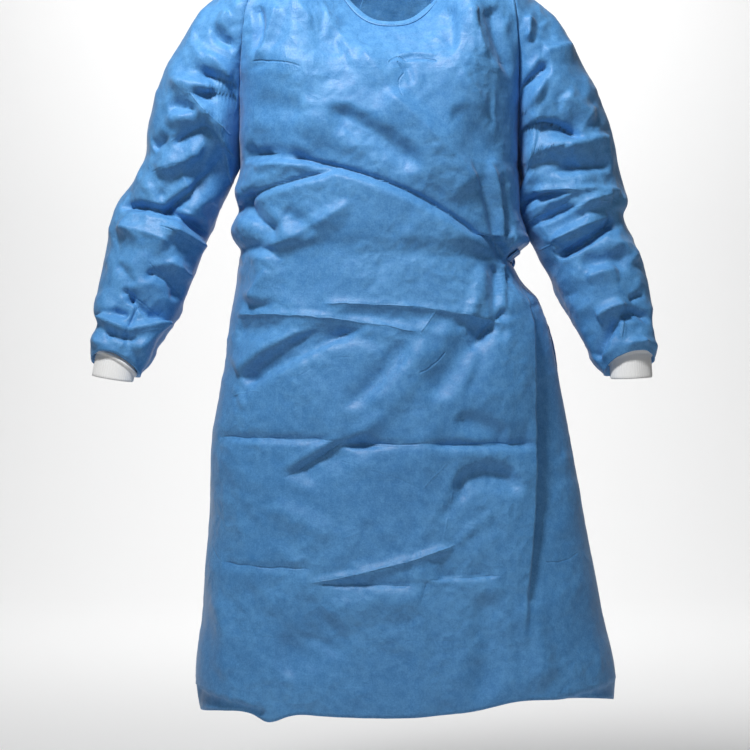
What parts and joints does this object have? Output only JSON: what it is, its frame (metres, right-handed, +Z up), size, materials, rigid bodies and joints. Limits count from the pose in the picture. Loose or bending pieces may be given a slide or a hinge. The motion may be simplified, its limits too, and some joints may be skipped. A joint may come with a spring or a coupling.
{
  "type": "surgical gown",
  "caption": "Long-sleeved wrap-back surgical gown in blue nonwoven cloth, worn and hollow, with knitted white cuffs, a bound neckline, and a waist tie knotted at the side.",
  "frame": {"origin": "where the wearer's shoulders carry the neck: near the centre line, level with the high points of the shoulder seams, midway between front and back", "axes": "+Z up along the gown's length, -Y the gown's front, -X the wearer's right sleeve"},
  "size_m": [0.8366, 0.3351, 1.1444],
  "materials": {
    "blue_nonwoven": "soft sheen nonwoven",
    "pale_blue_trim": "matt nonwoven",
    "white_knit": "fine knit"
  },
  "bodies": {
    "root": {"front": "blue_nonwoven", "back_outer": "blue_nonwoven", "back_inner": "blue_nonwoven", "sleeve_right": "blue_nonwoven", "sleeve_left": "blue_nonwoven", "cuff_right": "white_knit", "cuff_left": "white_knit", "neck_binding": "pale_blue_trim", "neck_fastener": "pale_blue_trim", "tie_front": "blue_nonwoven", "tie_flap": "blue_nonwoven", "tie_knot": "blue_nonwoven", "tie_tail_long": "blue_nonwoven", "tie_tail_short": "blue_nonwoven"}
  },
  "joints": []
}
